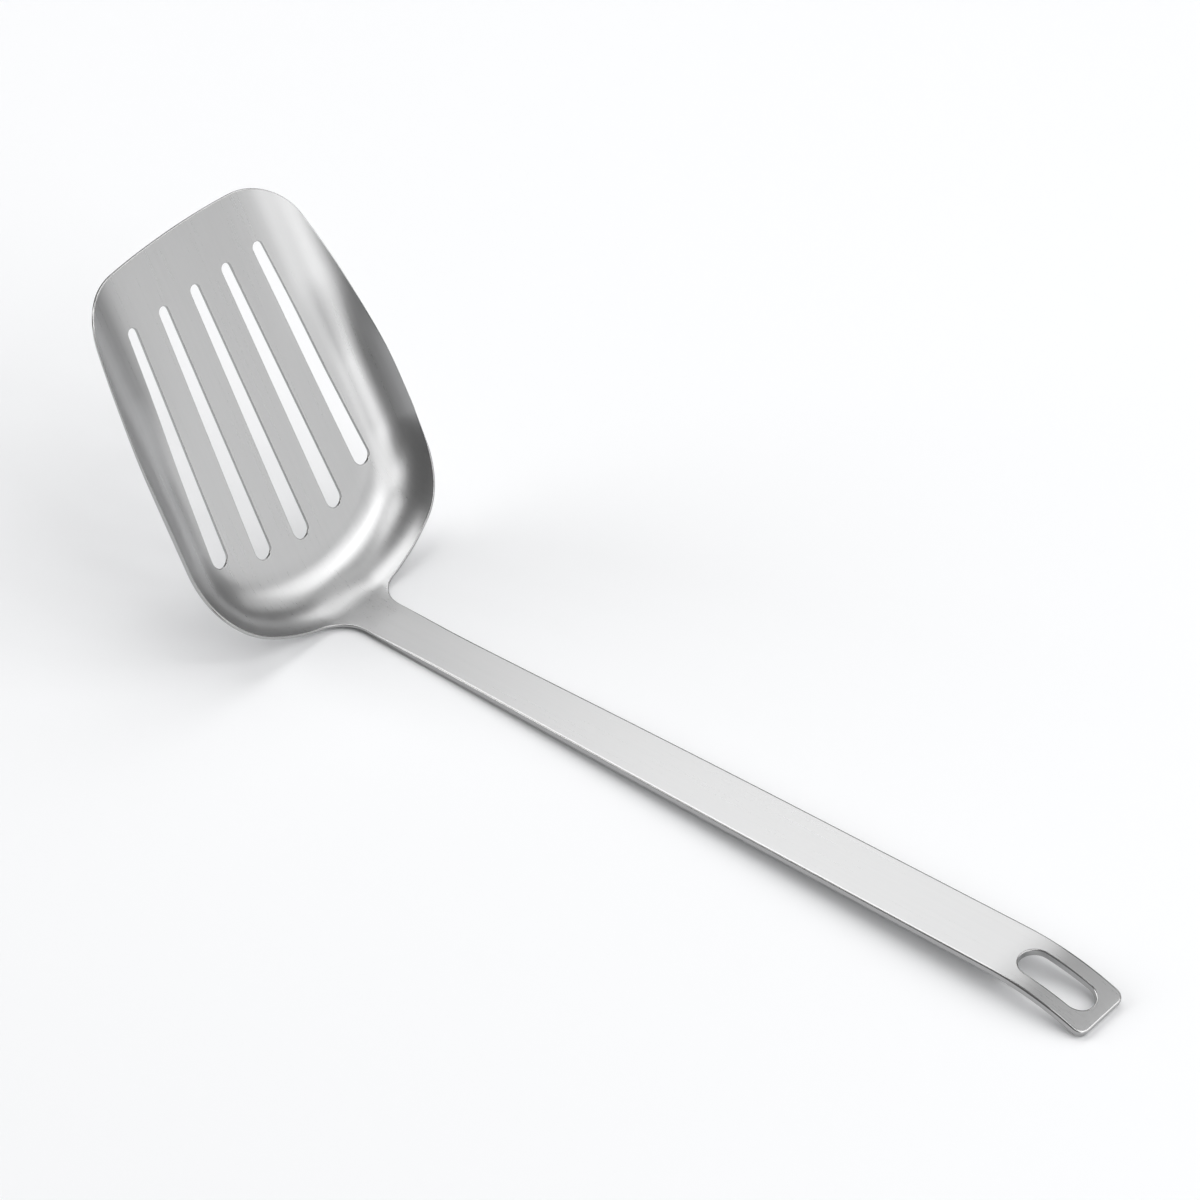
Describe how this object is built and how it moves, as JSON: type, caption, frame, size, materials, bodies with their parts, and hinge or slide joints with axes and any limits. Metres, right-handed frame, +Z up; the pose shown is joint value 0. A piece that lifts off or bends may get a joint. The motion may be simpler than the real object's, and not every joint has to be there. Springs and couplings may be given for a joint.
{
  "type": "kitchen turner",
  "caption": "Slotted stainless steel kitchen turner: dished sheet blade welded to a long flat handle with an oblong hanging slot.",
  "frame": {"origin": "centre of the bottom of the bounding box, on the table that the turner rests on, face up", "axes": "+X from the hanging end towards the blade, +Y across, +Z up from the table"},
  "size_m": [0.3303, 0.0954, 0.1016],
  "materials": {
    "blade_steel": "satin polish, fine lines along the blade",
    "handle_steel": "satin, fine lines along the handle"
  },
  "bodies": {
    "root": {"blade": "blade_steel", "handle": "handle_steel"}
  },
  "joints": []
}
